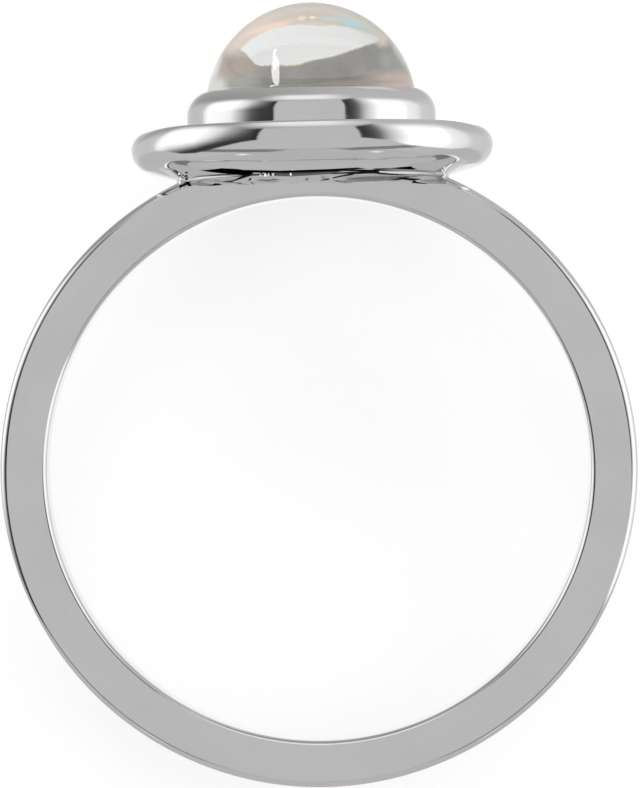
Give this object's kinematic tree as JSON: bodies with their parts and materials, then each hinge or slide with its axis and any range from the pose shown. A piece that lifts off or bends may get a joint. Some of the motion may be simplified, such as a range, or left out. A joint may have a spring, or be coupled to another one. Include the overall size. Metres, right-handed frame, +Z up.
{
  "type": "cabochon ring",
  "caption": "Finger ring with a plain round band, a saucer flange across its top and a round bezel that holds a domed cabochon stone; lies on its side.",
  "frame": {"origin": "centre of the ring's box on the surface that it lies on", "axes": "+Z up from that surface, +Y from the plain end of the band towards the head and its stone, +X across the band; the finger hole's axis leans back from +Z by 13.07 degrees, towards -Y at the top"},
  "size_m": [0.0202, 0.0246, 0.0113],
  "materials": {
    "white_metal": "polished",
    "stone": "polished"
  },
  "bodies": {
    "root": {"ring_mount": "white_metal", "cabochon": "stone"}
  },
  "joints": []
}
